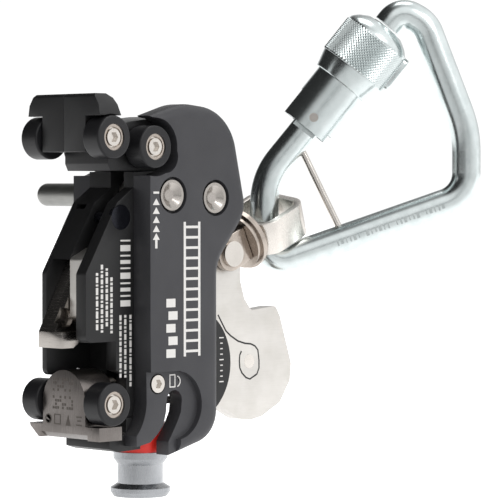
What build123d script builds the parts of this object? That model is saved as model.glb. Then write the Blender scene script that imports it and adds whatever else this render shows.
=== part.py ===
from build123d import *
import os
from math import cos, sin, radians, hypot, atan2, degrees

os.makedirs("parts", exist_ok=True)

# Frame: +X from the rail towards the climber, +Y to the far side, +Z up.
# The origin is on the carrier's front plane, midway between the upper and lower inner axles.

# rollers
axle_x = 6.4                 # inner axles, behind the front plane
axle_z = 55.35               # inner axles, above and below the origin
outer_x = 29.6               # upper outer axle
outer_z = 51.6
roller_r = 9.0
roller_in = 14.8             # inner end face, from the mid-plane
roller_out = 24.8            # outer end face
bearing_r = 5.5
race_bore = 4.35
race_r = 4.3
screw_r = 3.0
screw_head_r = 3.6

# carrier and covers
plate_y = 14.0               # outer face of the carrier plates
slot_near = -7.8             # lever slot, near wall
slot_far = 0.4               # lever slot, far wall
bolt_r = 5.0
front_x = 26.6               # front plane of the covers
cover_y = 24.6
head_y = 23.0
neck_y = 13.8

# lever, pawl and swivel
pivot_x, pivot_z = 39.6, 31.3
stop_x, stop_z = 64.4, 30.1
pawl_x, pawl_z = 19.7, 22.1
lever_near, lever_far = -7.5, 0.1
lever_mid = (lever_near + lever_far) / 2
clevis_x, clevis_z = 86.5, 5.5
swivel_tilt = 25.0           # swivel axis above the horizontal
eye_roll = 10.0              # eye turned about the swivel axis
eye_centre = 31.0            # along the swivel axis from the clevis bolt

# release sleeve
knob_x = 43.0

# carabiner: its plane is upright, turned about Z
carabiner_turn = -44.3
bar_r = 6.4


def side(y):
    """Sketch plane parallel to XZ at a given Y; extrusions run towards -Y."""
    return Plane.XZ.offset(-y)


def export(piece, name):
    piece.part.label = name
    export_step(piece.part, f"parts/{name}.step")


# ---------------------------------------------------------------- rollers

roller_places = [
    ("upper_near", axle_x, axle_z, -1),
    ("upper_far", axle_x, axle_z, 1),
    ("outer_near", outer_x, outer_z, -1),
    ("outer_far", outer_x, outer_z, 1),
    ("lower_near", axle_x, -axle_z, -1),
    ("lower_far", axle_x, -axle_z, 1),
]


def ring_between(x, z, y_low, y_high, outer_radius, inner_radius):
    """Tube about a Y axis; add it to the part that is being built."""
    with BuildSketch(side(y_high)) as ring:
        with Locations((x, z)):
            Circle(outer_radius)
            if inner_radius > 0:
                Circle(inner_radius, mode=Mode.SUBTRACT)
    extrude(ring.sketch, amount=y_high - y_low)


def y_span(hand, near_value, far_value):
    """Lowest and highest Y of a span given by two distances from the mid-plane."""
    ends = sorted((hand * near_value, hand * far_value))
    return ends[0], ends[1]


for place, x, z, hand in roller_places:
    low, high = y_span(hand, roller_in, roller_out)
    with BuildPart() as roller:
        ring_between(x, z, low, high, roller_r, bearing_r)
        rims = roller.edges().filter_by(GeomType.CIRCLE).filter_by(lambda e: e.radius > roller_r - 0.1)
        fillet(rims, 0.9)
    export(roller, f"roller_{place}")

    low, high = y_span(hand, roller_in + 0.4, roller_out - 0.5)
    with BuildPart() as bearing:
        ring_between(x, z, low, high, bearing_r, race_bore)
    export(bearing, f"bearing_{place}")

with BuildPart() as race_sleeves:
    for place, x, z, hand in roller_places:
        low, high = y_span(hand, neck_y, roller_out - 2.0)
        ring_between(x, z, low, high, race_r, screw_r)
export(race_sleeves, "bearing_sleeves")

with BuildPart() as roller_screws:
    for place, x, z, hand in roller_places:
        low, high = y_span(hand, 8.5, roller_out - 2.0)
        ring_between(x, z, low, high, screw_r, 0)
        low, high = y_span(hand, roller_out - 2.0, roller_out - 0.3)
        ring_between(x, z, low, high, screw_head_r, 0)
        face_y = hand * (roller_out - 0.3)
        with BuildSketch(side(face_y)):
            with Locations((x, z)):
                RegularPolygon(2.3, 6)
        extrude(amount=hand * 1.5, mode=Mode.SUBTRACT)
export(roller_screws, "roller_screws")

# ---------------------------------------------------------------- head

head_top = 73.6
head_step = 64.4
neck_bottom = 49.4
head_depth = 12.5
scoop_r = roller_r + 0.6


def head_half(hand):
    with BuildPart() as half:
        with BuildSketch(Plane.YZ):
            with BuildLine():
                Polyline(
                    (0, neck_bottom), (hand * neck_y, neck_bottom),
                    (hand * neck_y, head_step), (hand * head_y, head_step),
                    (hand * (head_y - 0.8), 69.0), (hand * 19.0, head_top), (0, head_top), close=True)
            make_face()
        extrude(amount=head_depth)
        scoop_low, scoop_high = y_span(hand, neck_y, head_y + 1)
        with BuildSketch(side(scoop_high)):
            with Locations((axle_x, axle_z)):
                Circle(scoop_r)
        extrude(amount=scoop_high - scoop_low, mode=Mode.SUBTRACT)
        top_front = half.edges().filter_by(Axis.Y).group_by(Axis.Z)[-1].sort_by(Axis.X)[0]
        chamfer(top_front, 1.2)
        # sloping back of the head
        with BuildSketch(side(head_y + 1)):
            with BuildLine():
                Polyline((7.0, head_top + 1), (7.0, head_top), (9.8, 71.8), (12.0, head_step), (14.0, head_step),
                         (14.0, head_top + 1), close=True)
            make_face()
        extrude(amount=2 * head_y + 2, mode=Mode.SUBTRACT)
        low, high = y_span(hand, 8.5, neck_y)
        with BuildSketch(side(high)):
            with Locations((axle_x, axle_z)):
                Circle(screw_r)
        extrude(amount=high - low, mode=Mode.SUBTRACT)
    return half


export(head_half(-1), "head_near")
export(head_half(1), "head_far")

# carrier top: joins the heads to the covers and holds the outer rollers
top_back = 58.0
with BuildPart() as carrier_top:
    with BuildSketch(side(neck_y)):
        with BuildLine():
            Polyline((head_depth, 63.0), (18.5, 61.0), (26.0, 62.5), (49.0, 65.0), (top_back, 61.0),
                     (top_back, 41.5), (head_depth + 1.5, 41.5), (head_depth, 44.5), close=True)
        make_face()
    extrude(amount=2 * neck_y)
    for hand in (-1, 1):
        low, high = y_span(hand, 8.5, neck_y)
        with BuildSketch(side(high)):
            with Locations((outer_x, outer_z)):
                Circle(screw_r)
        extrude(amount=high - low, mode=Mode.SUBTRACT)
export(carrier_top, "carrier_top")

# ---------------------------------------------------------------- carrier plates

nose_top = 41.2
plate_back = 71.0


def nose_outline(bottom_z, cut_x):
    """Side profile shared by both carrier plates, down to bottom_z at the front."""
    Polyline(
        (front_x, nose_top), (front_x, 34.5), (17.5, 28.2), (0, -1.3), (0, bottom_z),
        (cut_x, bottom_z), (cut_x, -42.0), (22.5, -44.0), (22.5, -62.0), (29.5, -62.0),
        (29.5, -34.0), (54.0, -24.0), (60.0, -6.0), (plate_back, 22.0), (plate_back, nose_top),
        close=True)


with BuildPart() as near_plate:
    with BuildSketch(side(slot_near)) as near_profile:
        with BuildLine():
            nose_outline(-30.0, 16.8)
        make_face()
        low_front = near_profile.vertices().group_by(Axis.X)[0]
        fillet(low_front, 3.0)
    extrude(amount=plate_y + slot_near)
    for x, z, hole_r in ((pivot_x, pivot_z, bolt_r), (stop_x, stop_z, bolt_r), (pawl_x, pawl_z, 2.5)):
        with BuildSketch(side(slot_near)):
            with Locations((x, z)):
                Circle(hole_r)
        extrude(amount=plate_y + slot_near, mode=Mode.SUBTRACT)
    with BuildSketch(side(-plate_y + 2.0)):
        with Locations((pawl_x, pawl_z)):
            Circle(5.3)
    extrude(amount=2.0, mode=Mode.SUBTRACT)
export(near_plate, "carrier_near_plate")

pocket_far = 11.2            # far wall of the pawl pocket
cavity_near = 5.0            # near wall of the pocket above the pawl arm
with BuildPart() as far_plate:
    with BuildSketch(side(plate_y)) as far_profile:
        with BuildLine():
            nose_outline(-44.5, 16.8)
        make_face()
        low_front = far_profile.vertices().group_by(Axis.X)[0]
        fillet(low_front, 3.0)
    extrude(amount=plate_y - slot_far)
    # open pocket for the pawl below the block
    with BuildSketch(side(pocket_far)):
        with BuildLine():
            Polyline((-1, 4.4), (-1, -46), (24.0, -46), (26.0, 4.4), close=True)
        make_face()
    extrude(amount=pocket_far - slot_far, mode=Mode.SUBTRACT)
    # closed cavity for the pawl arm and hub
    with BuildSketch(side(pocket_far)):
        with BuildLine():
            Polyline((4.0, 4.0), (14.7, 22.2), (16.6, 27.4), (26.0, 27.4), (26.0, 4.0), close=True)
        make_face()
    extrude(amount=pocket_far - cavity_near, mode=Mode.SUBTRACT)
    for x, z, hole_r in ((pivot_x, pivot_z, bolt_r), (stop_x, stop_z, bolt_r), (pawl_x, pawl_z, 2.5)):
        with BuildSketch(side(plate_y)):
            with Locations((x, z)):
                Circle(hole_r)
        extrude(amount=plate_y - slot_far, mode=Mode.SUBTRACT)
export(far_plate, "carrier_far_plate")

# ---------------------------------------------------------------- covers

pocket_depth = 3.0
edge_radius = 4.6
pocket_top = -43.0
pocket_r = 14.6
toe_r = 20.7
window_x, window_z, window_r = 42.95, -55.6, 4.35
recess_r = roller_r + 3.4
counterbore_r = 7.75
bolt_head_r = 6.5
foot_screw_x, foot_screw_z = 33.4, -48.2


def cover_outline():
    """Closed outline of one cover in XZ, with the toe curved round the lower roller."""
    toe_x = 21.5
    toe_z = -axle_z - (toe_r ** 2 - (toe_x - axle_x) ** 2) ** 0.5
    arc_mid = (axle_x + toe_r * cos(radians(-20)), -axle_z + toe_r * sin(radians(-20)))
    Polyline((axle_x + toe_r, -axle_z), (front_x, -20.0), (front_x, nose_top), (24.5, 63.5), (47.0, 70.4),
             (75.0, 67.5), (84.8, 24.0), (67.2, 2.0), (67.2, -71.5), (40.0, -78.8), (toe_x, -75.5),
             (toe_x, toe_z))
    ThreePointArc((toe_x, toe_z), arc_mid, (axle_x + toe_r, -axle_z))


def cover():
    """Near cover; the far one is its mirror image."""
    hand = -1
    inner = -plate_y
    with BuildPart() as shell:
        with BuildSketch(side(inner)) as outline:
            with BuildLine():
                cover_outline()
            make_face()
            for x, z, radius in ((47.0, 70.4, 30.0), (75.0, 67.5, 22.0), (84.8, 24.0, 14.0),
                                 (67.2, 2.0, 16.0), (67.2, -71.5, 14.0)):
                corner = outline.vertices().sort_by_distance((x, z, 0))[0]
                fillet(corner, radius)
        extrude(amount=-hand * (cover_y - plate_y))
        face = shell.faces().filter_by(Axis.Y).sort_by(Axis.Y)[0 if hand < 0 else -1]
        soft_edges = face.edges().filter_by(lambda e: e.center().X > front_x + 2)
        fillet(soft_edges, edge_radius)
        # recess round the outer roller, open to the front
        with BuildSketch(side(inner)):
            with Locations((outer_x, outer_z)):
                Circle(recess_r)
            with Locations((35.4, 47.6)):
                Circle(7.0)
            with BuildLine():
                Polyline((10, nose_top), (outer_x, nose_top), (outer_x, outer_z + recess_r), (10, 80),
                         close=True)
            make_face()
        extrude(amount=-hand * (cover_y - plate_y + 1), mode=Mode.SUBTRACT)
        # lightening pocket on the inside
        with BuildSketch(side(inner)) as hollow:
            with BuildLine():
                Polyline((33.0, 14.0), (33.0, -36.0), (60.0, -36.0), (60.0, 6.0), (50.0, 14.0),
                         close=True)
            make_face()
            fillet(hollow.vertices(), 2.0)
        extrude(amount=-hand * 5.0, mode=Mode.SUBTRACT)
        # counterbores and bolt holes
        with BuildSketch(side(inner)):
            with Locations((pivot_x, pivot_z), (stop_x, stop_z)):
                Circle(bolt_r)
        extrude(amount=-hand * (cover_y - plate_y + 1), mode=Mode.SUBTRACT)
        with BuildSketch(side(hand * (cover_y - 3.2))):
            with Locations((pivot_x, pivot_z), (stop_x, stop_z)):
                Circle(counterbore_r)
        extrude(amount=-hand * 5.0, mode=Mode.SUBTRACT)
        # sunk field at the foot of the cover
        with BuildSketch(side(hand * (cover_y - pocket_depth))):
            with BuildLine():
                Polyline((12.0, pocket_top), (44.0, pocket_top), (44.0, -80.0), (12.0, -80.0), close=True)
            make_face()
            with Locations((41.5, pocket_top - pocket_r)):
                Circle(pocket_r)
        extrude(amount=-hand * 6.0, mode=Mode.SUBTRACT)
        # window that runs out through the foot of the cover
        with BuildSketch(side(inner)):
            with BuildLine():
                Polyline((38.6, -55.6), (38.3, -60.0), (36.8, -65.5), (33.5, -69.3), (29.3, -72.6),
                         (21.8, -74.1), (16.0, -74.5), (16.0, -85.0), (39.5, -85.0), (39.5, -73.0),
                         (41.5, -70.0), (44.6, -65.0), (46.7, -60.8), (47.3, -55.6), close=True)
            make_face()
            with Locations((window_x, window_z)):
                Circle(window_r)
        extrude(amount=-hand * (cover_y - plate_y + 1), mode=Mode.SUBTRACT)
        # foot screw seat
        with BuildSketch(side(inner)):
            with Locations((foot_screw_x, foot_screw_z)):
                Circle(2.5)
        extrude(amount=-hand * (cover_y - plate_y + 1), mode=Mode.SUBTRACT)
        with BuildSketch(side(hand * (cover_y - pocket_depth - 1.6))):
            with Locations((foot_screw_x, foot_screw_z)):
                Circle(4.3)
        extrude(amount=-hand * 3.0, mode=Mode.SUBTRACT)
    return shell


near_cover = cover()
export(near_cover, "near_cover")
with BuildPart() as far_cover:
    mirror(near_cover.part, about=Plane.XZ)
    # the far cover is lower than the near one
    with BuildSketch(side(cover_y + 1)):
        with BuildLine():
            Polyline((10.0, 61.6), (60.0, 61.6), (90.0, 46.0), (90.0, 80.0), (10.0, 80.0), close=True)
        make_face()
    extrude(amount=cover_y, mode=Mode.SUBTRACT)
export(far_cover, "far_cover")

# ---------------------------------------------------------------- bolts through the body

cone_r = 5.3
with BuildPart() as lever_axle:
    ring_between(pivot_x, pivot_z, -cover_y + 3.2, cover_y - 3.2, bolt_r, 0)
export(lever_axle, "lever_axle")

with BuildPart() as stop_bolt:
    ring_between(stop_x, stop_z, -cover_y + 3.2, cover_y - 3.2, bolt_r, 0)
export(stop_bolt, "stop_bolt")


def bolt_head_cap(hand, x, z):
    """Round head dished by a wide cone."""
    face_y = hand * (cover_y - 0.6)
    seat_y = hand * (cover_y - 3.2)
    low, high = min(face_y, seat_y), max(face_y, seat_y)
    ring_between(x, z, low, high, bolt_head_r, 0)
    with BuildSketch(side(face_y)) as mouth:
        with Locations((x, z)):
            Circle(cone_r)
    extrude(mouth.sketch, amount=hand * 2.0, taper=55, mode=Mode.SUBTRACT)


with BuildPart() as bolt_heads:
    for hand in (-1, 1):
        for x, z in ((pivot_x, pivot_z), (stop_x, stop_z)):
            bolt_head_cap(hand, x, z)
export(bolt_heads, "bolt_heads")

with BuildPart() as foot_screws:
    for hand in (-1, 1):
        seat = cover_y - pocket_depth - 1.6
        low, high = y_span(hand, 9.0, seat)
        ring_between(foot_screw_x, foot_screw_z, low, high, 2.5, 0)
        low, high = y_span(hand, seat, seat + 1.9)
        ring_between(foot_screw_x, foot_screw_z, low, high, 3.75, 0)
        with BuildSketch(side(hand * (seat + 1.9))):
            with Locations((foot_screw_x, foot_screw_z)):
                RegularPolygon(2.1, 6)
        extrude(amount=hand * 1.4, mode=Mode.SUBTRACT)
export(foot_screws, "foot_screws")

with BuildPart() as pawl_pin:
    ring_between(pawl_x, pawl_z, -plate_y + 2.0, plate_y - 1.0, 2.4, 0)
    ring_between(pawl_x, pawl_z, -plate_y + 0.2, -plate_y + 2.0, 5.2, 0)
export(pawl_pin, "pawl_pin")

guide_pin_r = 5.0
guide_pin_end = 61.0
with BuildPart() as guide_pin:
    ring_between(pivot_x, pivot_z, cover_y - 0.6, guide_pin_end, guide_pin_r, 0)
    tip = guide_pin.edges().filter_by(GeomType.CIRCLE).sort_by(Axis.Y)[-1]
    fillet(tip, 4.2)
export(guide_pin, "guide_pin")

# ---------------------------------------------------------------- brake lever

with BuildPart() as brake_lever:
    with BuildSketch(side(lever_far)) as lever_profile:
        with BuildLine():
            Polyline((3.5, 5.0), (3.5, -20.5), (12.0, -21.5), (34.0, -21.0), (48.0, -26.0),
                     (62.0, -38.0), (72.0, -52.0), (84.0, -61.5), (95.2, -67.4), (101.4, -68.2),
                     (108.8, -66.9), (120.1, -61.3), (126.4, -51.7), (127.1, -44.0), (124.5, -36.0),
                     (120.1, -22.8), (117.3, -18.2), (102.2, -19.6), (98.0, -14.5), (95.5, -6.5),
                     (95.6, 1.0), (93.0, 11.0), (86.0, 15.0), (72.0, 18.0), (48.0, 33.0),
                     (42.0, 39.4), (35.0, 38.5), (31.5, 26.0), (26.0, 12.0), (12.0, 9.0), close=True)
        make_face()
        sharp = lever_profile.vertices().filter_by(lambda v: not 96 < v.X < 100)
        fillet(sharp, 1.9)
        with Locations((pivot_x, pivot_z)):
            Circle(8.6)
            Circle(5.05, mode=Mode.SUBTRACT)
        with Locations((clevis_x, clevis_z)):
            Circle(10.6)
            Circle(4.05, mode=Mode.SUBTRACT)
        with Locations((stop_x, stop_z)):
            Circle(bolt_r + 0.5, mode=Mode.SUBTRACT)
        with Locations((101.0, -42.3)):
            Circle(3.1, mode=Mode.SUBTRACT)
    extrude(amount=lever_far - lever_near)
export(brake_lever, "brake_lever")

# weak-link rivet that fills the eye of the tear line
with BuildPart() as tear_rivet:
    ring_between(101.0, -42.3, lever_near, lever_far, 3.1, 0)
export(tear_rivet, "tear_rivet")

gauge_near, gauge_far = -9.6, -8.0
with BuildPart() as gauge_plate:
    with BuildSketch(side(gauge_far)) as gauge_profile:
        with Locations((62.0, -42.0)):
            Circle(25.5)
        with BuildLine():
            Polyline((36.7, -56.5), (36.7, -31.8), (54.5, -24.6), (60.6, -6.6), (90.0, -6.6), (90.0, -80.0),
                     (36.7, -80.0), close=True)
        make_face(mode=Mode.INTERSECT)
        with Locations((knob_x, -68.0)):
            Rectangle(28, 28, mode=Mode.SUBTRACT)
    extrude(amount=gauge_far - gauge_near)
export(gauge_plate, "gauge_plate")

# ---------------------------------------------------------------- pawl

pawl_near, pawl_far = 5.3, 10.9
pawl_wide_near = -3.9
pawl_tip_x = -4.5
spring_far = 7.9             # the hub is this far in, to leave room for its spring
with BuildPart() as pawl:
    with BuildSketch(side(pawl_far)) as arm:
        with BuildLine():
            Polyline((pawl_tip_x, -25.8), (11.6, 4.4), (16.2, 20.0), (23.4, 20.5), (21.0, 4.4),
                     (9.5, -22.0), (9.5, -27.0), (2.0, -32.5), (pawl_tip_x, -32.5), close=True)
        make_face()
        with Locations((pawl_x, pawl_z)):
            Circle(3.75)
            Circle(2.45, mode=Mode.SUBTRACT)
    extrude(amount=pawl_far - pawl_near)
    with BuildSketch(side(pawl_near)) as shoulder:
        with BuildLine():
            Polyline((pawl_tip_x, -25.8), (9.0, -0.5), (17.6, -0.5), (9.5, -22.0), (9.5, -27.0),
                     (2.0, -32.5), (pawl_tip_x, -32.5), close=True)
        make_face()
    extrude(amount=pawl_near - 0.7)
    with BuildSketch(side(0.7)) as tip:
        with BuildLine():
            Polyline((pawl_tip_x, -25.8), (9.5, -25.8), (9.5, -27.0), (2.0, -32.5),
                     (pawl_tip_x, -32.5), close=True)
        make_face()
    extrude(amount=0.7 - pawl_wide_near)
    with BuildSketch(side(0.7 + 2.6)):
        with Locations((1.2, -20.0)):
            Circle(4.2)
    extrude(amount=2.6, mode=Mode.SUBTRACT)
    with BuildSketch(side(spring_far)):
        with Locations((pawl_x, pawl_z)):
            Circle(4.3)
    extrude(amount=spring_far - pawl_near, mode=Mode.SUBTRACT)
export(pawl, "pawl")

with BuildPart() as pawl_spring:
    for turn in range(2):
        ring_between(pawl_x, pawl_z, pawl_near + 0.1 + 1.2 * turn, pawl_near + 1.1 + 1.2 * turn, 3.6, 2.6)
export(pawl_spring, "pawl_spring")

# ---------------------------------------------------------------- foot

foot_r = 13.6
plate_top = -64.9
plate_bottom = -70.6
plate_half = 22.4
with BuildPart() as foot_block:
    with BuildSketch(Plane.YZ):
        with Locations((0, -axle_z)):
            Circle(foot_r)
        with Locations((0, (plate_top - axle_z) / 2)):
            Rectangle(2 * foot_r, -axle_z - plate_top)
    extrude(amount=16.6)
    with BuildSketch(Plane.YZ):
        with BuildLine():
            Polyline((-plate_half, plate_top), (-plate_half, plate_bottom), (16.4, plate_bottom),
                     (plate_half - 0.6, plate_top - 1.4), (plate_half, plate_top), close=True)
        make_face()
    extrude(amount=12.5)
    for hand in (-1, 1):
        low, high = y_span(hand, foot_r + 0.2, plate_half + 0.5)
        with BuildSketch(side(high)):
            with Locations((axle_x, -axle_z)):
                Circle(scoop_r)
        extrude(amount=high - low, mode=Mode.SUBTRACT)
    with BuildSketch(side(15.0)):
        with BuildLine():
            Polyline((-1, -67.6), (6.5, -72.5), (-1, -72.5), close=True)
        make_face()
    extrude(amount=30.0, mode=Mode.SUBTRACT)
    for hand in (-1, 1):
        low, high = y_span(hand, 8.5, foot_r)
        with BuildSketch(side(high)):
            with Locations((axle_x, -axle_z)):
                Circle(screw_r)
        extrude(amount=high - low, mode=Mode.SUBTRACT)
export(foot_block, "guide_foot")

with BuildPart() as foot_collar:
    with BuildSketch(Plane.YZ.offset(16.6)):
        with Locations((0, -axle_z)):
            Circle(11.2)
    extrude(amount=5.9)
export(foot_collar, "foot_collar")

# carrier base behind the foot; the release sleeve runs in its bore
with BuildPart() as carrier_base:
    with BuildSketch(side(13.9)):
        with BuildLine():
            Polyline((13.0, -71.6), (17.5, -71.6), (22.5, -68.5), (22.5, -62.3), (29.6, -62.3),
                     (29.6, -34.5), (36.4, -32.0), (36.4, -56.5), (30.6, -57.2), (30.6, -76.0),
                     (18.0, -76.5), (13.0, -75.0), close=True)
        make_face()
    extrude(amount=27.8)
    for hand in (-1, 1):
        low, high = y_span(hand, 9.0, 13.9)
        with BuildSketch(side(high)):
            with Locations((foot_screw_x, foot_screw_z)):
                Circle(2.5)
        extrude(amount=high - low, mode=Mode.SUBTRACT)
    with BuildSketch(side(slot_far)):
        with BuildLine():
            Polyline((29.0, -30.0), (38.0, -30.0), (38.0, -44.0), (29.0, -44.0), close=True)
        make_face()
    extrude(amount=slot_far - slot_near, mode=Mode.SUBTRACT)
export(carrier_base, "carrier_base")

# ---------------------------------------------------------------- release sleeve

spindle_r = 4.0
sleeve_travel = 7.0
sleeve_top = -78.5           # top face of the sleeve, at its lower stop
band_height = 12.3
block_bottom = -57.5
spindle_end = -86.5
assert block_bottom > sleeve_top + band_height + sleeve_travel + 0.5
with BuildPart() as spindle:
    with BuildSketch(Plane.XY.offset(spindle_end)):
        with Locations((knob_x, 0)):
            Circle(spindle_r)
    extrude(amount=block_bottom - spindle_end)
    with BuildSketch(Plane.XY.offset(block_bottom)):
        with Locations((knob_x, 0)):
            Rectangle(13.1, 27.8)
    extrude(amount=12.0)
    with BuildSketch(side(slot_far)):
        with BuildLine():
            Polyline((30, block_bottom + 3.0), (60, block_bottom + 3.0), (60, -40), (30, -40), close=True)
        make_face()
    extrude(amount=plate_y + slot_far, mode=Mode.SUBTRACT)
export(spindle, "release_spindle")

with BuildPart() as release_sleeve:
    with BuildSketch(Plane.XZ):
        with BuildLine():
            Polyline((knob_x + spindle_r + 0.05, sleeve_top), (knob_x + 11.7, sleeve_top),
                     (knob_x + 11.7, -81.3), (knob_x + 9.8, -83.9), (knob_x + 9.8, -92.0),
                     (knob_x + 12.9, -93.9), (knob_x + 12.9, -95.6), (knob_x + 11.6, -97.6),
                     (knob_x, -97.6), (knob_x, -94.4), (knob_x + spindle_r + 0.05, -94.4), close=True)
        make_face()
    revolve(axis=Axis((knob_x, 0, 0), (0, 0, 1)))
export(release_sleeve, "release_sleeve")

with BuildPart() as red_band:
    with BuildSketch(Plane.XY.offset(sleeve_top)):
        with Locations((knob_x, 0)):
            Circle(11.3)
            Circle(6.6, mode=Mode.SUBTRACT)
    extrude(amount=band_height)
export(red_band, "red_band")

with BuildPart() as sleeve_spring:
    with BuildSketch(Plane.XY.offset(sleeve_top + 0.1)):
        with Locations((knob_x, 0)):
            Circle(6.0)
            Circle(4.6, mode=Mode.SUBTRACT)
    extrude(amount=block_bottom - sleeve_top - 0.2)
export(sleeve_spring, "sleeve_spring")

# ---------------------------------------------------------------- swivel

swivel_axis = Vector(cos(radians(swivel_tilt)), 0, sin(radians(swivel_tilt)))
eye_up = Vector(-sin(radians(swivel_tilt)) * cos(radians(eye_roll)), -sin(radians(eye_roll)),
                cos(radians(swivel_tilt)) * cos(radians(eye_roll)))
clevis_point = Vector(clevis_x, lever_mid, clevis_z)


def across_swivel(distance):
    """Plane square to the swivel axis, at a distance from the clevis bolt."""
    return Plane(origin=clevis_point + swivel_axis * distance, x_dir=(0, 1, 0), z_dir=swivel_axis)


clevis_gap = lever_far - lever_near + 0.8
clevis_r = 7.6
with BuildPart() as clevis_bolt:
    ring_between(clevis_x, clevis_z, lever_mid - 9.4, lever_mid + 9.4, 4.0, 0)
    for y_start in (lever_mid - 9.4, lever_mid + 7.8):
        ring_between(clevis_x, clevis_z, y_start, y_start + 1.6, 5.6, 4.0)
export(clevis_bolt, "clevis_bolt")

# knuckle: two ears joined by a shoulder that carries the stud
with BuildPart() as knuckle:
    with BuildSketch(side(lever_mid + 7.7)) as ear:
        with Locations((clevis_x, clevis_z)):
            Circle(clevis_r)
        with BuildLine():
            reach = [clevis_point + swivel_axis * distance for distance in (0, 11.5)]
            up = Vector(-swivel_axis.Z, 0, swivel_axis.X) * clevis_r
            Polyline((reach[0].X + up.X, reach[0].Z + up.Z), (reach[1].X + up.X, reach[1].Z + up.Z),
                     (reach[1].X - up.X, reach[1].Z - up.Z), (reach[0].X - up.X, reach[0].Z - up.Z),
                     close=True)
        make_face()
    extrude(amount=15.4)
    with BuildSketch(side(lever_mid + clevis_gap / 2)) as gap:
        with Locations((clevis_x, clevis_z)):
            Circle(11.4)
        with Locations((clevis_x - 9, clevis_z)):
            Rectangle(18, 24)
    extrude(amount=clevis_gap, mode=Mode.SUBTRACT)
    with BuildSketch(side(lever_mid + 9)):
        with Locations((clevis_x, clevis_z)):
            Circle(4.05)
    extrude(amount=18, mode=Mode.SUBTRACT)
export(knuckle, "swivel_knuckle")

with BuildPart() as flange:
    with BuildSketch(across_swivel(11.5)):
        Circle(12.6)
        Circle(3.0, mode=Mode.SUBTRACT)
    extrude(amount=2.4)
    with BuildSketch(across_swivel(13.9)):
        Circle(13.8)
        Circle(3.0, mode=Mode.SUBTRACT)
    extrude(amount=2.4)
export(flange, "swivel_flange")

with BuildPart() as stud:
    with BuildSketch(across_swivel(11.5)):
        Circle(3.0)
    extrude(amount=8.8)
    with BuildSketch(across_swivel(20.25)):
        Circle(4.6)
    extrude(amount=1.1)
export(stud, "swivel_stud")

# eye: a strap bent into a rounded square loop
eye_length, eye_width, strap, eye_height = 28.0, 30.0, 3.0, 15.0
eye_point = clevis_point + swivel_axis * eye_centre
eye_plane = Plane(origin=eye_point - eye_up * (eye_height / 2), x_dir=swivel_axis, z_dir=eye_up)
with BuildPart() as eye:
    with BuildSketch(eye_plane):
        RectangleRounded(eye_length, eye_width, 7.5)
        RectangleRounded(eye_length - 2 * strap, eye_width - 2 * strap, 4.5, mode=Mode.SUBTRACT)
    extrude(amount=eye_height)
    with BuildSketch(across_swivel(eye_centre - eye_length / 2 - 0.5)):
        Circle(3.05)
    extrude(amount=strap + 1.0, mode=Mode.SUBTRACT)
export(eye, "swivel_eye")

# ---------------------------------------------------------------- carabiner

turn = radians(carabiner_turn)
carabiner_right = Vector(cos(turn), sin(turn), 0)
bar_point = eye_point - swivel_axis * 0.5
carabiner_plane = Plane(origin=bar_point, x_dir=carabiner_right, z_dir=(sin(turn), -cos(turn), 0))

hinge_a, hinge_b = 19.2, 43.8
nose_a, nose_b = 55.1, 88.6
gate_angle = degrees(atan2(nose_b - hinge_b, nose_a - hinge_a))
gate_length = hypot(nose_a - hinge_a, nose_b - hinge_b)


def on_gate(distance, across=0.0):
    """Point in the carabiner plane along the gate from its hinge."""
    c, s = cos(radians(gate_angle)), sin(radians(gate_angle))
    return (hinge_a + distance * c + across * s, hinge_b + distance * s - across * c)


def across_gate(distance):
    """Plane square to the gate at a distance from its hinge."""
    point = carabiner_plane.from_local_coords(Vector(*on_gate(distance), 0))
    ahead = carabiner_plane.from_local_coords(Vector(*on_gate(distance + 1), 0)) - point
    return Plane(origin=point, x_dir=carabiner_plane.z_dir, z_dir=ahead)


frame_corners = [on_gate(1.5), (0, 20.2), (0, -19.0), (89.8, 12.4), (89.8, 41.4), (71.6, 88.9),
                 (60.3, 95.1), on_gate(gate_length - 1.0)]
frame_radii = [30.0, 9.0, 14.0, 50.0, 13.0, 7.5]
with BuildPart() as carabiner_frame:
    with BuildLine(carabiner_plane):
        spine = FilletPolyline(*frame_corners, radius=frame_radii)
    with BuildSketch(Plane(origin=spine @ 0, z_dir=spine % 0)):
        Circle(bar_r)
    sweep(path=spine)
    # flat tang that the gate forks over
    with BuildSketch(carabiner_plane.offset(-8.0)):
        with Locations(Location((*on_gate(3.0), 0), (0, 0, gate_angle))):
            Rectangle(13.0, 16.0)
    extrude(amount=4.8, mode=Mode.SUBTRACT)
    with BuildSketch(carabiner_plane.offset(3.2)):
        with Locations(Location((*on_gate(3.0), 0), (0, 0, gate_angle))):
            Rectangle(13.0, 16.0)
    extrude(amount=4.8, mode=Mode.SUBTRACT)
    with BuildSketch(carabiner_plane.offset(-3.2)):
        with Locations(on_gate(4.0)):
            Circle(5.2)
    extrude(amount=6.4)
    with BuildSketch(carabiner_plane.offset(-4.0)):
        with Locations(on_gate(4.0)):
            Circle(2.05)
    extrude(amount=8.0, mode=Mode.SUBTRACT)
export(carabiner_frame, "carabiner_frame")

with BuildPart() as captive_pin:
    pin_top = carabiner_plane.from_local_coords(Vector(16.4, 33.2, 0))
    pin_end = carabiner_plane.from_local_coords(Vector(34.7, -4.6, 0))
    with BuildSketch(Plane(origin=pin_top, z_dir=pin_end - pin_top)):
        Circle(1.5)
    extrude(amount=(pin_end - pin_top).length)
export(captive_pin, "captive_pin")

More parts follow.
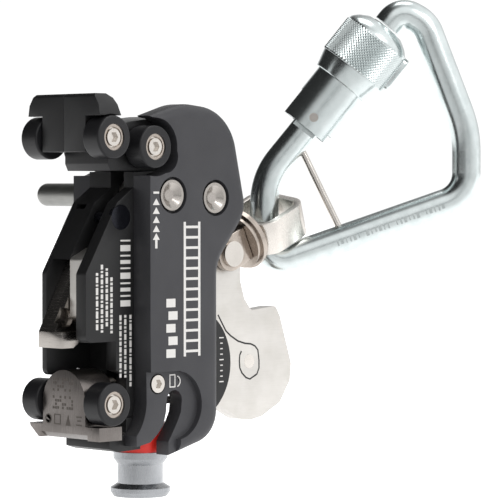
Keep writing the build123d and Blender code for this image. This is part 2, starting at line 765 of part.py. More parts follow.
# gate: forked barrel, closing on the nose
barrel_r = 12.3
with BuildPart() as gate:
    with BuildSketch(across_gate(-1.6)):
        Circle(barrel_r)
    extrude(amount=31.6)
    with BuildSketch(across_gate(30.0)):
        Circle(6.4)
    extrude(amount=gate_length - 30.0 - 1.9)
    # fork gap for the tang
    with BuildSketch(carabiner_plane.offset(-3.5)):
        with Locations(Location((*on_gate(4.0), 0), (0, 0, gate_angle))):
            Rectangle(13.4, 26.0)
    extrude(amount=7.0, mode=Mode.SUBTRACT)
    with BuildSketch(carabiner_plane.offset(-7.2)):
        with Locations(Location((*on_gate(-1.0, 2.9), 0), (0, 0, gate_angle))):
            Rectangle(6.0, 20.2)
    extrude(amount=14.4, mode=Mode.SUBTRACT)
    with BuildSketch(carabiner_plane.offset(-13.0)):
        with Locations(on_gate(4.0)):
            Circle(2.0)
    extrude(amount=26.0, mode=Mode.SUBTRACT)
export(gate, "gate")

with BuildPart() as gate_pin:
    with BuildSketch(carabiner_plane.offset(-12.0)):
        with Locations(on_gate(4.0)):
            Circle(2.0)
    extrude(amount=24.0)
export(gate_pin, "gate_pin")

cone_start, knurl_start, knurl_end, sleeve_end = 23.4, 31.6, 48.5, 55.0
knurl_r, ring_r, bore_r = 16.2, 15.7, 12.35
with BuildPart() as lock_sleeve:
    with BuildSketch(carabiner_plane):
        with BuildLine():
            Polyline(on_gate(cone_start, 13.6), on_gate(cone_start, bore_r), on_gate(30.2, bore_r),
                     on_gate(30.2, 6.5), on_gate(sleeve_end, 6.5), on_gate(sleeve_end, 9.6),
                     on_gate(sleeve_end - 2.4, 13.2), on_gate(knurl_end, knurl_r),
                     on_gate(knurl_start, knurl_r), on_gate(knurl_start - 0.6, ring_r), close=True)
        make_face()
    gate_line = Axis(across_gate(0).origin, across_gate(0).z_dir)
    revolve(axis=gate_line)
lug_plane = Plane(origin=across_gate(42.0).origin, x_dir=across_gate(0).z_dir,
                  z_dir=carabiner_plane.from_local_coords(Vector(*on_gate(0, 1), 0))
                  - carabiner_plane.from_local_coords(Vector(*on_gate(0, 0), 0)))
with lock_sleeve:
    with BuildSketch(lug_plane.offset(knurl_r - 1.5)):
        SlotOverall(17.0, 5.6)
    extrude(amount=3.6)
export(lock_sleeve, "lock_sleeve")
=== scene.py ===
import bpy
import bmesh
import math
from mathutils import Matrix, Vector


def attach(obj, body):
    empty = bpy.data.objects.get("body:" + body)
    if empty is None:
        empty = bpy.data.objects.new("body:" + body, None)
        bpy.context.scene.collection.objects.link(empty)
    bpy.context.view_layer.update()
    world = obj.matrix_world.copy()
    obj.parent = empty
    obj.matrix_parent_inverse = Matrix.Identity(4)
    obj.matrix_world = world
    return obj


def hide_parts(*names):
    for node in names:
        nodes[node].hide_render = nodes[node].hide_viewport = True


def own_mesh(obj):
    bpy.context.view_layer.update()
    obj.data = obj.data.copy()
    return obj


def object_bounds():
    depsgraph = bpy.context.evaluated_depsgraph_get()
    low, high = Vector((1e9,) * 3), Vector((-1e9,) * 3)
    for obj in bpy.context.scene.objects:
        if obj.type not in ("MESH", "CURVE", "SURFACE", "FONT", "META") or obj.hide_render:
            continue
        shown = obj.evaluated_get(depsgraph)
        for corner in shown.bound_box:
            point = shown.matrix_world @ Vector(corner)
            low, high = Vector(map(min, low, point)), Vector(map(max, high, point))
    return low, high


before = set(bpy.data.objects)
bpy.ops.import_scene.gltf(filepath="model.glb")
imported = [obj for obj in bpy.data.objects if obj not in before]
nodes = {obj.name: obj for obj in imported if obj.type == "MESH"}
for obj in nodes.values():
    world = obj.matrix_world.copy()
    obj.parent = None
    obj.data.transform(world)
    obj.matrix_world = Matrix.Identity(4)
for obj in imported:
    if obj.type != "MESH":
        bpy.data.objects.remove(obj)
cadLow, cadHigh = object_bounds()
mm = 0.001
print("frame loaded,", len(nodes), "nodes")


def srgb(code):
    # a hex colour as the linear values that the shaders take
    values = [int(code[i:i + 2], 16) / 255 for i in (1, 3, 5)]
    return tuple(v / 12.92 if v <= 0.04045 else ((v + 0.055) / 1.055) ** 2.4 for v in values) + (1.0,)


def addNode(tree, kind, settings=None, inputs=None):
    # one shader node, its settings, and its inputs as values or as links from other nodes' sockets
    node = tree.nodes.new(kind)
    for name, value in (settings or {}).items():
        setattr(node, name, value)
    for name, value in (inputs or {}).items():
        if isinstance(value, bpy.types.NodeSocket):
            tree.links.new(value, node.inputs[name])
        else:
            node.inputs[name].default_value = value
    return node


def newMaterial(name):
    # a material with only its shader and output, and the object coordinates that every pattern reads
    material = bpy.data.materials.new(name)
    material.use_nodes = True
    tree = material.node_tree
    tree.nodes.clear()
    shader = addNode(tree, "ShaderNodeBsdfPrincipled")
    addNode(tree, "ShaderNodeOutputMaterial", inputs={"Surface": shader.outputs["BSDF"]})
    place = addNode(tree, "ShaderNodeTexCoord").outputs["Object"]
    return material, tree, shader, place


def grain(tree, place, size, detail=3.0):
    # noise whose blotches are about `size` metres across
    return addNode(tree, "ShaderNodeTexNoise", inputs={"Vector": place, "Scale": 1 / size, "Detail": detail})


def spread(tree, value, low, high, fromLow=0.3, fromHigh=0.7):
    # a 0-1 pattern stretched to run from low to high
    stretched = addNode(tree, "ShaderNodeMapRange", inputs={
        "Value": value, "From Min": fromLow, "From Max": fromHigh, "To Min": low, "To Max": high})
    return stretched.outputs["Result"]


def twoColours(tree, value, first, second):
    ramp = addNode(tree, "ShaderNodeValToRGB", inputs={"Fac": value})
    ramp.color_ramp.elements[0].color = srgb(first)
    ramp.color_ramp.elements[1].color = srgb(second)
    return ramp.outputs["Color"]


def roughened(tree, shader, pattern, low, high):
    # roughness that follows a pattern
    tree.links.new(spread(tree, pattern.outputs["Fac"], low, high), shader.inputs["Roughness"])


def bumped(tree, shader, pattern, strength, depth):
    # fine relief from a pattern
    bump = addNode(tree, "ShaderNodeBump", inputs={
        "Height": pattern.outputs["Fac"], "Strength": strength, "Distance": depth})
    tree.links.new(bump.outputs["Normal"], shader.inputs["Normal"])


def clouded(tree, shader, pattern, dark, light):
    # a base colour that drifts between two close tones
    tree.links.new(twoColours(tree, spread(tree, pattern.outputs["Fac"], 0, 1), dark, light),
                   shader.inputs["Base Color"])


anodisedValues = {"blast": 0.35 * mm, "cloud": 14 * mm, "smoother": 0.05, "rougher": 0.07,
                  "relief": 0.22, "depth": 0.04 * mm}


def anodisedAluminium(name, dark, light, roughness, metallic):
    # bead-blasted then hard anodised: a soft grey sheen with a fine even grain
    v = anodisedValues
    material, tree, shader, place = newMaterial(name)
    blast = grain(tree, place, v["blast"], 2.0)
    clouded(tree, shader, grain(tree, place, v["cloud"]), dark, light)
    roughened(tree, shader, blast, roughness - v["smoother"], roughness + v["rougher"])
    bumped(tree, shader, blast, v["relief"], v["depth"])
    shader.inputs["Metallic"].default_value = metallic
    return material


acetalValues = {"colour": "#1b1b1d", "shine": 0.3, "texture": 0.5 * mm, "smooth": 0.36, "rough": 0.48,
                "relief": 0.15, "depth": 0.03 * mm}


def turnedAcetal(name):
    # black acetal turned on a lathe: satin, with a fine turned texture
    v = acetalValues
    material, tree, shader, place = newMaterial(name)
    turning = grain(tree, place, v["texture"], 4.0)
    shader.inputs["Base Color"].default_value = srgb(v["colour"])
    shader.inputs["Specular IOR Level"].default_value = v["shine"]
    roughened(tree, shader, turning, v["smooth"], v["rough"])
    bumped(tree, shader, turning, v["relief"], v["depth"])
    return material


steelValues = {"along": 9 * mm, "cloud": 9 * mm, "smoother": 0.06, "rougher": 0.1,
               "relief": 0.12, "depth": 0.02 * mm}


def stainlessSteel(name, dark, light, roughness, brushAxis, lineSize=0.25 * mm):
    # brushed, rolled or turned metal: fine parallel lines that stretch the highlights
    v = steelValues
    material, tree, shader, place = newMaterial(name)
    stretch = [1 / lineSize] * 3
    stretch[brushAxis] = 1 / v["along"]
    along = addNode(tree, "ShaderNodeMapping", inputs={"Vector": place, "Scale": stretch})
    lines = addNode(tree, "ShaderNodeTexNoise", inputs={
        "Vector": along.outputs["Vector"], "Scale": 1.0, "Detail": 3.0})
    clouded(tree, shader, grain(tree, place, v["cloud"]), dark, light)
    roughened(tree, shader, lines, roughness - v["smoother"], roughness + v["rougher"])
    bumped(tree, shader, lines, v["relief"], v["depth"])
    shader.inputs["Metallic"].default_value = 1.0
    return material


zincValues = {"dark": "#c4cccc", "light": "#d0d7d7", "cloud": 5 * mm, "fine": 0.8 * mm,
              "smooth": 0.2, "rough": 0.26, "relief": 0.12, "depth": 0.1 * mm}


def zincPlate(name):
    # forged steel, barrelled and zinc plated: cool grey, slightly wavy and cloudy
    v = zincValues
    material, tree, shader, place = newMaterial(name)
    cloud = grain(tree, place, v["cloud"])
    clouded(tree, shader, cloud, v["dark"], v["light"])
    roughened(tree, shader, grain(tree, place, v["fine"], 4.0), v["smooth"], v["rough"])
    bumped(tree, shader, cloud, v["relief"], v["depth"])
    shader.inputs["Metallic"].default_value = 1.0
    return material


def flatInkAndSlitShadow(name, code, roughness=0.55, uneven=0.1):
    # laser-etched or printed mark, and also the painted shadow inside a saw slit: matte, slightly uneven
    # where the beam passed
    material, tree, shader, place = newMaterial(name)
    shader.inputs["Base Color"].default_value = srgb(code)
    roughened(tree, shader, grain(tree, place, 0.6 * mm), roughness - uneven, roughness + uneven)
    return material


def redCoat(name):
    # red satin coating of the release band
    material, tree, shader, place = newMaterial(name)
    shader.inputs["Base Color"].default_value = srgb("#d42a20")
    roughened(tree, shader, grain(tree, place, 1.2 * mm), 0.3, 0.42)
    return material


charcoalAnodised = anodisedAluminium("charcoal anodised aluminium", "#37373a", "#3c3c3f", 0.5, 0.3)
blackAnodised = anodisedAluminium("black anodised aluminium", "#1b1b1c", "#202021", 0.45, 0.3)
glossBlack = anodisedAluminium("polished black oxide", "#25262c", "#2b2c33", 0.18, 0.8)
acetal = turnedAcetal("black turned acetal")
brushedStainless = stainlessSteel("brushed stainless steel", "#d0cbc5", "#dad5cf", 0.28, 2)
footStainless = stainlessSteel("dark ground stainless steel", "#716c69", "#7b7673", 0.3, 2)
boltStainless = stainlessSteel("turned stainless bolt", "#9c9792", "#aaa5a0", 0.2, 1)
rolledStainless = stainlessSteel("cold rolled stainless plate", "#c3c0bb", "#ccc9c5", 0.42, 0, 0.5 * mm)
polishedStainless = stainlessSteel("polished stainless steel", "#c4bfb9", "#cfcac4", 0.16, 1)
warmStainless = stainlessSteel("heat-tinted stainless steel", "#a39a92", "#b1a79e", 0.22, 2)
greySteel = stainlessSteel("tumbled grey steel", "#858583", "#92928f", 0.42, 1)
satinAluminium = stainlessSteel("turned satin aluminium", "#97999c", "#a5a7aa", 0.26, 2)
zinc = zincPlate("zinc plated forged steel")
etchWhite = flatInkAndSlitShadow("pale laser etch", "#cfcdca")
etchDark = flatInkAndSlitShadow("dark laser etch", "#4b443e")
redBandCoat = redCoat("red satin coating")
# painted shadow: near-black colour standing for the shade inside the lever's saw slit
slitShadowBlack = flatInkAndSlitShadow("shadowed saw slit", "#0c0b0b")
print("materials made")


def finish(piece, body, material, smoothAngle=35):
    piece.data.materials.clear()
    piece.data.materials.append(material)
    piece.data.shade_smooth()
    piece.data.set_sharp_from_angle(angle=math.radians(smoothAngle))
    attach(piece, body)
    return piece


def meshPiece(name, work):
    # a finished bmesh becomes an object at the origin
    mesh = bpy.data.meshes.new(name)
    work.to_mesh(mesh)
    work.free()
    piece = bpy.data.objects.new(name, mesh)
    bpy.context.scene.collection.objects.link(piece)
    return piece


def softened(nodeName, body, material, width, segments=3, sharpAngle=25):
    # the plain shape with its machined edges broken by a small round
    work = bmesh.new()
    work.from_mesh(nodes[nodeName].data)
    bmesh.ops.remove_doubles(work, verts=work.verts, dist=0.002 * mm)
    bmesh.ops.dissolve_limit(work, angle_limit=math.radians(0.5), verts=work.verts, edges=work.edges)
    sharp = [e for e in work.edges if e.is_manifold and e.calc_face_angle(0) > math.radians(sharpAngle)]
    bmesh.ops.bevel(work, geom=sharp, offset=width, offset_type="OFFSET", segments=segments,
                    affect="EDGES", profile=0.5, material=-1, clamp_overlap=True)
    bmesh.ops.triangulate(work, faces=[f for f in work.faces if len(f.verts) > 4])
    piece = meshPiece(nodeName + "Soft", work)
    finish(piece, body, material)
    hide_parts(nodeName)
    return piece


softPieces = {
    "head_near": ("carrier", blackAnodised, "anodised", 0.5),
    "head_far": ("carrier", blackAnodised, "anodised", 0.5),
    "carrier_top": ("carrier", blackAnodised, "anodised", 0.6),
    "carrier_near_plate": ("carrier", blackAnodised, "anodised", 0.45),
    "carrier_far_plate": ("carrier", blackAnodised, "anodised", 0.45),
    "carrier_base": ("carrier", blackAnodised, "anodised", 0.4),
    "near_cover": ("carrier", charcoalAnodised, "anodised", 0.5),
    "far_cover": ("carrier", charcoalAnodised, "anodised", 0.5),
    "guide_foot": ("carrier", footStainless, "stainless", 0.3),
    "brake_lever": ("lever", rolledStainless, "stainless", 0.35),
    "pawl": ("pawl_body", boltStainless, "stainless", 0.35),
    "swivel_eye": ("eye", brushedStainless, "stainless", 0.35),
    "swivel_knuckle": ("swivel", warmStainless, "stainless", 0.6),
}
for nodeName, (body, material, slotName, width) in softPieces.items():
    softened(nodeName, body, material, width * mm)

rollerNodes = [name for name in nodes if name.startswith("roller_") and name != "roller_screws"]
bearingNodes = [name for name in nodes if name.startswith("bearing_") and name != "bearing_sleeves"]
plainPieces = [
    (polishedStainless, ["bearing_sleeves", "roller_screws", "lever_axle", "stop_bolt", "foot_screws",
                         "tear_rivet", "clevis_bolt", "pawl_spring", "swivel_stud", "gate_pin", "captive_pin",
                         "release_spindle", "foot_collar"]),
    (boltStainless, ["bolt_heads"]),
    (warmStainless, ["swivel_flange"] + bearingNodes),
    (glossBlack, ["pawl_pin"]),
    (blackAnodised, ["gauge_plate"]),
    (greySteel, ["guide_pin"]),
    (satinAluminium, ["release_sleeve"]),
    (redBandCoat, ["red_band"]),
    (zinc, ["carabiner_frame", "gate"]),
    (acetal, rollerNodes),
]
for material, names in plainPieces:
    for name in names:
        nodes[name].data.materials.clear()
        nodes[name].data.materials.append(material)
print("carried-over pieces finished")


# the locking sleeve: a cone, a diamond-knurled grip and a rounded shoulder, turned about the gate
sleeveValues = {
    "hinge": (19.2, 43.8), "nose": (55.1, 88.6), "turn": -44.3, "tilt": 25.0, "eyeCentre": 31.0,
    "clevis": (86.5, -3.7, 5.5), "barOffset": -0.5,
    "profile": [(23.4, 12.36), (23.4, 13.3), (23.7, 13.6), (30.7, 15.5), (31.4, 15.6)],
    "shoulder": [(49.2, 15.6), (50.4, 15.2), (52.6, 13.1), (54.4, 10.2), (54.95, 9.2), (54.95, 6.6),
                 (30.3, 6.6), (30.3, 12.36)],
    "grip": (31.5, 48.9), "crest": 16.18, "valley": 15.72, "columns": 124, "rows": 22,
    "lug": {"from": 33.6, "to": 50.4, "half": 2.7, "low": 15.0, "high": 17.6, "round": 0.5, "steps": 8},
}


def gateFrame():
    # the gate's hinge point, its direction, and two directions across it
    v = sleeveValues
    tilt, turn = math.radians(v["tilt"]), math.radians(v["turn"])
    reach = v["eyeCentre"] + v["barOffset"]
    bar = Vector(v["clevis"]) + Vector((math.cos(tilt), 0, math.sin(tilt))) * reach
    right, up = Vector((math.cos(turn), math.sin(turn), 0)), Vector((0, 0, 1))
    hinge = bar + right * v["hinge"][0] + up * v["hinge"][1]
    nose = bar + right * v["nose"][0] + up * v["nose"][1]
    ahead = (nose - hinge).normalized()
    inward = (right * ahead.z - up * ahead.dot(right)).normalized()
    return hinge * mm, ahead, inward, ahead.cross(inward).normalized(), bar


gateHinge, gateAhead, gateInward, gateSide, barPoint = gateFrame()


def onSleeve(along, radius, angle):
    # a point about the gate's axis; angle 0 faces the inside of the carabiner
    return (gateHinge + gateAhead * along * mm
            + (gateInward * math.cos(angle) + gateSide * math.sin(angle)) * radius * mm)


def joinRings(work, rings):
    # a skin of four-sided faces between each ring of points and the next
    for first, second in zip(rings[:-1], rings[1:]):
        for i in range(len(first)):
            j = (i + 1) % len(first)
            work.faces.new((first[i], first[j], second[j], second[i]))


def turnedShell(work, profile, count):
    # rings of points about the gate's axis, joined into a skin
    rings = [[work.verts.new(onSleeve(along, radius, 2 * math.pi * i / count)) for i in range(count)]
             for along, radius in profile]
    joinRings(work, rings)
    return rings


def knurledGrip(work, v):
    # pyramids in a diamond pattern: each square is split along its two low corners
    low, high = v["grip"]
    count, rows = v["columns"], v["rows"]
    grid = []
    for row in range(rows + 1):
        along = low + (high - low) * row / rows
        rim = row in (0, rows)
        radii = [v["valley"] if rim or (row + i) % 2 else v["crest"] for i in range(count)]
        grid.append([work.verts.new(onSleeve(along, radius, 2 * math.pi * i / count))
                     for i, radius in enumerate(radii)])
    for row in range(rows):
        for i in range(count):
            j = (i + 1) % count
            a, b, c, d = grid[row][i], grid[row][j], grid[row + 1][j], grid[row + 1][i]
            if (row + i) % 2:
                work.faces.new((a, b, c))
                work.faces.new((a, c, d))
            else:
                work.faces.new((a, b, d))
                work.faces.new((b, c, d))
    return grid[0], grid[-1]


def lugRings(work, lug):
    # the raised lug's round-ended outline at its foot, below its top edge and on its top
    middle, reach = (lug["to"] + lug["from"]) / 2, (lug["to"] - lug["from"]) / 2
    half = lug["half"]
    outline = []
    for end, centre in ((1, lug["to"] - half), (-1, lug["from"] + half)):
        for step in range(lug["steps"] + 1):
            angle = math.pi * (step / lug["steps"] - 0.5)
            outline.append((centre + end * half * math.cos(angle), end * half * math.sin(angle)))
    rings = []
    for height, inset in ((lug["low"], 0.0), (lug["high"] - lug["round"], 0.0), (lug["high"], lug["round"])):
        longer, wider = 1 - inset / reach, 1 - inset / half
        rings.append([work.verts.new(gateHinge + gateAhead * (middle + (along - middle) * longer) * mm
                                     + gateInward * height * mm + gateSide * across * wider * mm)
                      for along, across in outline])
    return rings


def lockSleeve():
    v = sleeveValues
    work = bmesh.new()
    count = v["columns"]
    lower = turnedShell(work, v["profile"], count)
    firstRing, lastRing = knurledGrip(work, v)
    upper = turnedShell(work, v["shoulder"], count)
    for pair in ((lower[-1], firstRing), (lastRing, upper[0]), (upper[-1], lower[0])):
        joinRings(work, pair)
    rings = lugRings(work, v["lug"])
    joinRings(work, rings)
    work.faces.new(rings[-1])
    work.faces.new(rings[0][::-1])
    bmesh.ops.recalc_face_normals(work, faces=work.faces)
    piece = meshPiece("knurledSleeve", work)
    finish(piece, "lock", zinc, 28)
    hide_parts("lock_sleeve")


lockSleeve()
print("locking sleeve made")


# the coil spring that holds the release sleeve down, made at one fixed length; the real one shortens as the
# sleeve slides up
springValues = {"centre": (43.0, 0.0), "low": -77.7, "high": -58.3, "radius": 5.3, "wire": 0.6,
                "turns": 7.0, "steps": 30, "sides": 8, "block": -57.6, "keep": 0.66}


def sleeveSpring():
    v = springValues
    work = bmesh.new()
    count = int(v["turns"] * v["steps"])
    rings = []
    for i in range(count + 1):
        angle = 2 * math.pi * i / v["steps"]
        out = Vector((math.cos(angle), math.sin(angle), 0))
        centre = Vector((v["centre"][0], v["centre"][1], v["low"] + (v["high"] - v["low"]) * i / count))
        ring = []
        for side in range(v["sides"]):
            t = 2 * math.pi * side / v["sides"]
            ring.append(work.verts.new((centre + out * (v["radius"] + v["wire"] * math.cos(t))
                                        + Vector((0, 0, v["wire"] * math.sin(t)))) * mm))
        rings.append(ring)
    joinRings(work, rings)
    work.faces.new(rings[0][::-1])
    work.faces.new(rings[-1])
    bmesh.ops.recalc_face_normals(work, faces=work.faces)
    piece = meshPiece("sleeveSpring", work)
    finish(piece, "carrier", polishedStainless)
    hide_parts("sleeve_spring")
    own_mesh(piece)


sleeveSpring()
print("release spring made")


# flat marks, each a thin plate that is sunk a little into the face it lies on and stands just proud of it
def markPiece(name, body, material, shapes, place, thickness=0.05, sunk=0.05):
    # shapes are closed outlines in millimetres; place turns (a, b, height) into a point in millimetres
    work = bmesh.new()
    for shape in shapes:
        top = [work.verts.new(Vector(place(a, b, thickness)) * mm) for a, b in shape]
        low = [work.verts.new(Vector(place(a, b, -sunk)) * mm) for a, b in shape]
        work.faces.new(top)
        work.faces.new(low[::-1])
        for i in range(len(shape)):
            j = (i + 1) % len(shape)
            work.faces.new((low[i], low[j], top[j], top[i]))
    bmesh.ops.triangulate(work, faces=[f for f in work.faces if len(f.verts) > 4])
    bmesh.ops.recalc_face_normals(work, faces=work.faces)
    piece = meshPiece(name, work)
    finish(piece, body, material)


def box(x, z, width, height):
    return [(x - width / 2, z - height / 2), (x + width / 2, z - height / 2),
            (x + width / 2, z + height / 2), (x - width / 2, z + height / 2)]


def arc(x, z, radius, width, start, end, steps=14):
    # a curved band between two angles in degrees
    angles = [math.radians(start + (end - start) * i / steps) for i in range(steps + 1)]
    outer = [(x + radius * math.cos(t), z + radius * math.sin(t)) for t in angles]
    inner = [(x + (radius - width) * math.cos(t), z + (radius - width) * math.sin(t)) for t in angles]
    return outer + inner[::-1]


def frameBox(x, z, width, height, line):
    # four bars round a rectangle
    return [box(x, z + (height - line) / 2, width, line), box(x, z - (height - line) / 2, width, line),
            box(x - (width - line) / 2, z, line, height - 2 * line),
            box(x + (width - line) / 2, z, line, height - 2 * line)]


def nearFace(depth):
    return lambda a, b, height: (a, -depth - height, b)


coverMarks = {"face": 24.6, "arrowX": 29.9, "tips": (30.0, 26.3, 22.5, 18.7, 15.4), "half": 1.95, "tall": 2.8,
              "shaft": (10.8, 1.3, 3.6), "topBar": (32.4, 3.2, 0.9),
              "ladderX": 50.4, "ladderTop": 20.0, "ladderBottom": -37.0, "ladderHalf": 4.2, "rungs": 13,
              "rail": 1.3, "rung": 1.1,
              "blockX": 38.8, "stagger": 0.6, "blockTop": -14.128, "blockStep": 5.32, "blocks": 5,
              "block": (5.2, 3.6)}


def coverShapes():
    # a row of arrowheads pointing up the rail, a ladder sign, and a staggered row of blocks
    v = coverMarks
    x = v["arrowX"]
    half, tall = v["half"], v["tall"]
    shapes = [[(x - half, tip - tall), (x + half, tip - tall), (x, tip)] for tip in v["tips"]]
    shapes += [box(x, *v["shaft"]), box(x, *v["topBar"])]
    length = v["ladderTop"] - v["ladderBottom"]
    centre = (v["ladderTop"] + v["ladderBottom"]) / 2
    for end in (-1, 1):
        shapes.append(box(v["ladderX"] + end * v["ladderHalf"], centre, v["rail"], length))
    for i in range(v["rungs"]):
        z = v["ladderBottom"] + length * (i + 0.5) / v["rungs"]
        shapes.append(box(v["ladderX"], z, 2 * v["ladderHalf"] - v["rail"], v["rung"]))
    for i in range(v["blocks"]):
        aside = v["stagger"] if i % 2 else -v["stagger"]
        shapes.append(box(v["blockX"] + aside, v["blockTop"] - v["blockStep"] * i, *v["block"]))
    return shapes


markPiece("coverMarks", "carrier", etchWhite, coverShapes(), nearFace(coverMarks["face"]))

# a plain padlock-like sign in the cover's recess
lockSign = {"face": 21.6, "body": (41.8, -47.3, 3.4, 5.6, 0.5), "loop": (44.0, -47.6, 2.5, 0.5, -75, 75)}
lockShapes = frameBox(*lockSign["body"]) + [arc(*lockSign["loop"])]
markPiece("lockMark", "carrier", etchWhite, lockShapes, nearFace(lockSign["face"]))


def dashes(x, top, bottom, width, lengths, gap):
    # a column of short bars that reads as a line of small print, but says nothing
    shapes, z, i = [], top, 0
    while z - lengths[i % len(lengths)] > bottom:
        length = lengths[i % len(lengths)]
        shapes.append(box(x, z - length / 2, width, length))
        z -= length + gap
        i += 1
    return shapes


# each column: its x, top, bottom and width, the bar lengths that repeat down it, and the gap
plateFace = 14.0
plateColumns = [
    (22.0, 12.6, -16.0, 5.6, (0.7, 2.6, 0.7, 1.6), 1.5),
    (6.2, -1.0, -26.0, 1.3, (1.2, 2.4, 0.8, 3.0), 0.6),
    (8.9, 2.4, -26.4, 1.3, (2.0, 0.9, 1.5), 0.6),
    (11.6, 0.8, -26.6, 1.3, (0.9, 1.7, 2.6), 0.6),
    (14.2, -3.0, -26.6, 1.3, (1.6, 1.1, 2.2), 0.6),
    (19.2, -19.0, -46.0, 1.2, (2.2, 1.0, 1.7), 0.6),
    (21.9, -19.0, -48.0, 1.2, (1.1, 2.5, 0.9), 0.6),
    (24.8, -19.0, -50.0, 1.2, (1.7, 0.8, 2.8), 0.6),
]
plateMarks = [bar for column in plateColumns for bar in dashes(*column)]
markPiece("plateMarks", "carrier", etchWhite, plateMarks, nearFace(plateFace))

gaugeScale = {"face": 9.6, "x": 82.0, "top": -31.0, "step": 2.4, "ticks": 9,
              "long": 2.6, "short": 1.5, "line": 0.5}
gaugeMarks = [box(gaugeScale["x"], gaugeScale["top"] - gaugeScale["step"] * i,
                  gaugeScale["short"] if i % 4 else gaugeScale["long"], gaugeScale["line"])
              for i in range(gaugeScale["ticks"])]
markPiece("gaugeMarks", "carrier", etchWhite, gaugeMarks, nearFace(gaugeScale["face"]))


footSigns = {"dotCentre": (0.7, -51.7), "dots": 9, "pitch": 1.5, "dot": 1.1,
             "triangle": [(-4.4, -65.0), (-1.0, -65.0), (-2.7, -60.4)], "frame": (4.2, -62.6, 4.2, 4.4, 0.5),
             "ring": (10.0, -62.6, 2.1, 0.5, 0, 358, 20),
             "lines": [(-9.6, -61.0, 3.6, 0.6), (-9.6, -62.6, 2.2, 0.6), (-9.6, -64.4, 3.6, 0.6)]}


def footShapes():
    # an open grid of dots and four plain signs
    v = footSigns
    shapes = []
    last = v["dots"] - 1
    for row in range(v["dots"]):
        for column in range(v["dots"]):
            if (row * 5 + column * 3 + row * column) % 7 in (0, 2, 5) or row in (0, last) and column % 2 == 0:
                shapes.append(box(v["dotCentre"][0] + (column - last / 2) * v["pitch"],
                                  v["dotCentre"][1] - (row - last / 2) * v["pitch"], v["dot"], v["dot"]))
    shapes.append(v["triangle"])
    shapes += frameBox(*v["frame"])
    shapes.append(arc(*v["ring"]))
    shapes += [box(*line) for line in v["lines"]]
    return shapes


markPiece("footMarks", "carrier", etchDark, footShapes(), lambda a, b, height: (-height, a, b))

# painted shadow: a near-black ribbon for the shade inside the saw slit along which the lever tears
tearPath = [(81.9, -21.1), (84.3, -24.7), (86.7, -28.3), (89.7, -30.6), (94, -33), (98.3, -34.2),
            (102, -34.6), (104.5, -35.6), (106.3, -37.4), (107, -41.9), (107, -45.5), (105.7, -48.1),
            (101.4, -50.1), (98.9, -49.3), (96.5, -47.2), (95.2, -44.9), (94.9, -41.8), (95.2, -39.2),
            (96.2, -37.5)]


def ribbon(points, width):
    # four-sided pieces of a strip along a bent line
    left, right = [], []
    for i, (x, z) in enumerate(points):
        before, after = points[max(i - 1, 0)], points[min(i + 1, len(points) - 1)]
        dx, dz = after[0] - before[0], after[1] - before[1]
        size = math.hypot(dx, dz)
        left.append((x - dz / size * width / 2, z + dx / size * width / 2))
        right.append((x + dz / size * width / 2, z - dx / size * width / 2))
    return [[left[i], left[i + 1], right[i + 1], right[i]] for i in range(len(points) - 1)]


# short raised bars along the lower limb
limbValues = {"start": (0, -19.0), "end": (89.8, 12.4), "from": 0.36, "to": 0.9, "count": 26, "low": 6.2,
              "high": 6.62, "length": 95.1, "across": -0.9, "widths": (0.7, 1.3, 0.5),
              "heights": (2.6, 1.9, 2.3, 2.6), "gapEvery": 7}


def limbPlace(a, b, height):
    # a runs along the limb, b across it, height out of the carabiner's plane
    v, turn = limbValues, math.radians(sleeveValues["turn"])
    run = Vector((v["end"][0] - v["start"][0], v["end"][1] - v["start"][1])).normalized()
    x = v["start"][0] + run.x * a - run.y * b
    z = v["start"][1] + run.y * a + run.x * b
    level = v["high"] if height > 0 else v["low"]
    return (barPoint + Vector((math.cos(turn), math.sin(turn), 0)) * x + Vector((0, 0, z))
            + Vector((math.sin(turn), -math.cos(turn), 0)) * level)


def limbShapes():
    v = limbValues
    shapes = []
    for i in range(v["count"]):
        share = v["from"] + (v["to"] - v["from"]) * i / v["count"]
        if i % v["gapEvery"] != v["gapEvery"] - 1:
            shapes.append(box(v["length"] * share, v["across"], v["widths"][i % 3], v["heights"][i % 4]))
    return shapes


markPiece("limbBars", "carabiner", zinc, limbShapes(), limbPlace)

# painted shadow of the saw slit: a thin near-black ribbon just proud of the lever's near face
tearSlitShadowValues = {"face": 7.5, "width": 0.75, "proud": 0.03}
markPiece("tearSlitShadow", "lever", slitShadowBlack, ribbon(tearPath, tearSlitShadowValues["width"]),
          nearFace(tearSlitShadowValues["face"]), tearSlitShadowValues["proud"])
print("marks made")


def facing(tree, vector, towards):
    # how far a direction or a place lies towards another
    product = addNode(tree, "ShaderNodeVectorMath", {"operation": "DOT_PRODUCT"}, {0: vector, 1: towards})
    return product.outputs["Value"]


stageValues = {"floor": 6.0, "drop": 6 * mm, "pale": "#dadada", "roughness": 0.8, "glow": (0.28, 1.0),
               "back": (0.698, 0.716, 0), "from": -200 * mm, "to": 95 * mm}
floorMesh = bmesh.new()
bmesh.ops.create_grid(floorMesh, x_segments=1, y_segments=1, size=stageValues["floor"])
bmesh.ops.translate(floorMesh, verts=floorMesh.verts, vec=(0, 0, cadLow.z - stageValues["drop"]))
floor = meshPiece("floor", floorMesh)
floorPaint, floorTree, floorShader, floorPlace = newMaterial("pale floor")
floorShader.inputs["Base Color"].default_value = srgb(stageValues["pale"])
floorShader.inputs["Roughness"].default_value = stageValues["roughness"]
floorShader.inputs["Emission Color"].default_value = (1, 1, 1, 1)
# the floor's glow fades slowly towards the front, so that it does not light the front from below
fade = addNode(floorTree, "ShaderNodeMapRange", {"interpolation_type": "SMOOTHSTEP"}, {
    "Value": facing(floorTree, floorPlace, stageValues["back"]),
    "From Min": stageValues["from"], "From Max": stageValues["to"],
    "To Min": stageValues["glow"][0], "To Max": stageValues["glow"][1]})
floorTree.links.new(fade.outputs["Result"], floorShader.inputs["Emission Strength"])
floor.data.materials.append(floorPaint)

scene = bpy.context.scene
world = bpy.data.worlds.new("studio")
scene.world = world
world.use_nodes = True
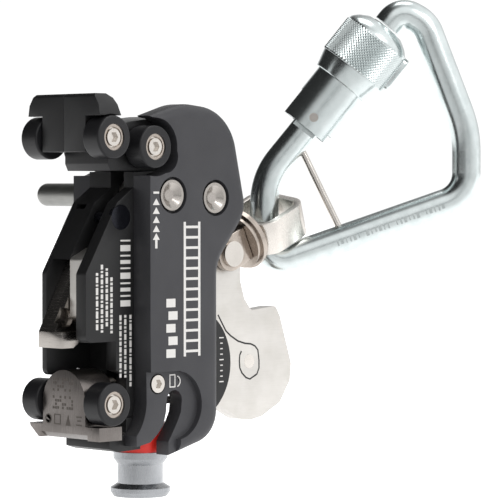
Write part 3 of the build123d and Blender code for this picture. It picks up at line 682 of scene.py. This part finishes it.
# each card: the direction it hangs in, its dim and bright strengths, and where it fades from and to
skyCards = [
    ((0.62, -0.62, 0.48), 0.03, 1.3, 0.0, 0.9),
    ((-0.48, -0.67, 0.566), 0, 1.2, 0.78, 0.92),
    ((0.698, 0.716, -0.02), 0, 1.05, 0.8, 0.95),
]
sky = world.node_tree
direction = addNode(sky, "ShaderNodeTexCoord").outputs["Generated"]
cards = [spread(sky, facing(sky, direction, towards), *levels) for towards, *levels in skyCards]
strength = cards[0]
for card in cards[1:]:
    brighter = addNode(sky, "ShaderNodeMath", {"operation": "MAXIMUM"}, {0: strength, 1: card})
    strength = brighter.outputs["Value"]
sky.links.new(strength, sky.nodes["Background"].inputs["Strength"])
sky.nodes["Background"].inputs["Color"].default_value = (1, 1, 1, 1)
scene.view_settings.view_transform = "Standard"

lampValues = {
    "front": {"place": (0.1, -1.1, 0.75), "size": 0.5, "power": 4.0},
    "top": {"place": (0.3, 0.1, 1.0), "size": 0.5, "power": 2.0},
    "left": {"place": (-1.1, 0.6, 0.35), "size": 0.3, "power": 0.4},
}
middle = (cadLow + cadHigh) / 2
for name, values in lampValues.items():
    lamp = bpy.data.lights.new(name, "AREA")
    lamp.size = values["size"]
    lamp.energy = values["power"]
    lampObject = bpy.data.objects.new(name, lamp)
    lampObject.location = Vector(values["place"])
    lampObject.rotation_euler = (middle - lampObject.location).to_track_quat("-Z", "Y").to_euler()
    scene.collection.objects.link(lampObject)

cameraValues = {"place": (-0.7612, -0.8915, 0.0360), "heading": 44.3, "tilt": 1.35, "lens": 201.6,
                "near": 0.05, "far": 50}
cameraData = bpy.data.cameras.new("camera")
cameraData.lens = cameraValues["lens"]
cameraData.clip_start = cameraValues["near"]
cameraData.clip_end = cameraValues["far"]
camera = bpy.data.objects.new("camera", cameraData)
camera.location = cameraValues["place"]
heading, tilt = math.radians(cameraValues["heading"]), math.radians(cameraValues["tilt"])
ahead = Vector((math.sin(heading) * math.cos(tilt), math.cos(heading) * math.cos(tilt), -math.sin(tilt)))
camera.rotation_mode = "QUATERNION"
camera.rotation_quaternion = ahead.to_track_quat("-Z", "Y")
scene.collection.objects.link(camera)
scene.camera = camera
print("stage set")
